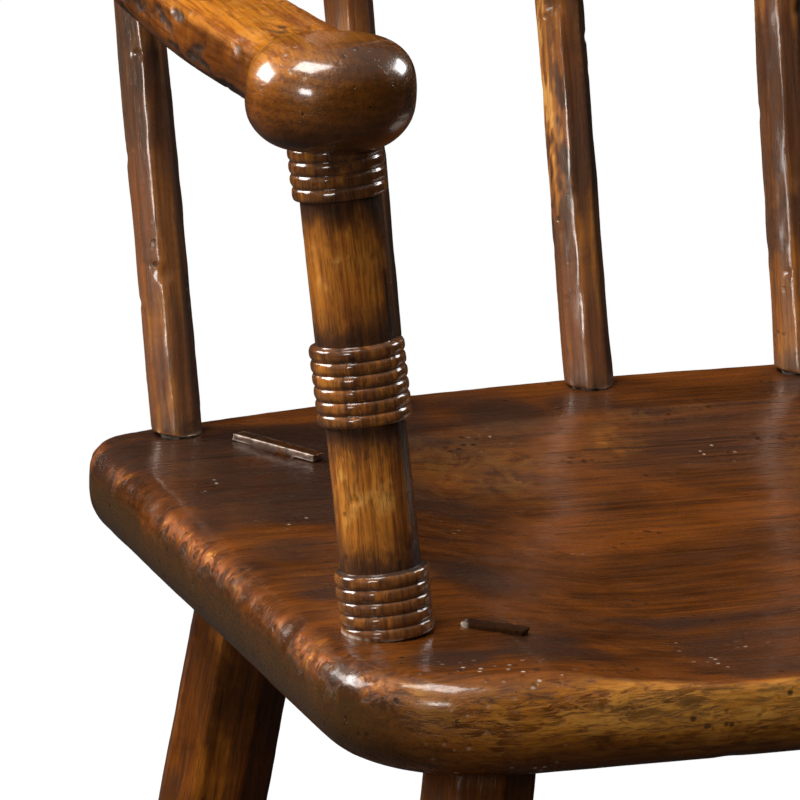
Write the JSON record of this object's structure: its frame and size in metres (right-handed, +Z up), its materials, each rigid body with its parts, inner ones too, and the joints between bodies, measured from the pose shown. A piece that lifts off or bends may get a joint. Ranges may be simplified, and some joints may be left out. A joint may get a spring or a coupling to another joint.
{
  "type": "armchair",
  "caption": "Country stick-back armchair of dark waxed wood: saddled plank seat, hewn wedged legs, ring-turned arm posts, arms with carved hand knobs and a curved comb.",
  "frame": {"origin": "on the floor below the middle of the chair's overall width and depth", "axes": "+Z up, +Y towards the chair's back, +X to the left hand of a person sitting in it"},
  "size_m": [0.582, 0.5828, 1.047],
  "materials": {
    "seat_wood": "waxed, worn at the edges",
    "leg_wood": "waxed, hewn facets",
    "post_wood": "waxed, turned",
    "arm_wood": "waxed, worn by hands",
    "stick_wood": "waxed, shaved facets",
    "comb_wood": "waxed",
    "wedge_wood": "dark and dry"
  },
  "bodies": {
    "root": {"seat_plank": "seat_wood", "front_left_leg": "leg_wood", "front_right_leg": "leg_wood", "rear_left_leg": "leg_wood", "rear_right_leg": "leg_wood", "front_left_wedge": "wedge_wood", "front_right_wedge": "wedge_wood", "rear_left_wedge": "wedge_wood", "rear_right_wedge": "wedge_wood", "left_side_stretcher": "leg_wood", "right_side_stretcher": "leg_wood", "cross_stretcher": "leg_wood", "left_arm_post": "post_wood", "right_arm_post": "post_wood", "post_wedges": "wedge_wood", "left_arm": "arm_wood", "right_arm": "arm_wood", "back_rail": "arm_wood", "lap_pegs": "wedge_wood", "comb": "comb_wood", "comb_pegs": "wedge_wood", "back_stick_1": "stick_wood", "back_stick_2": "stick_wood", "back_stick_3": "stick_wood", "back_stick_4": "stick_wood", "back_stick_5": "stick_wood", "back_stick_6": "stick_wood"}
  },
  "joints": []
}
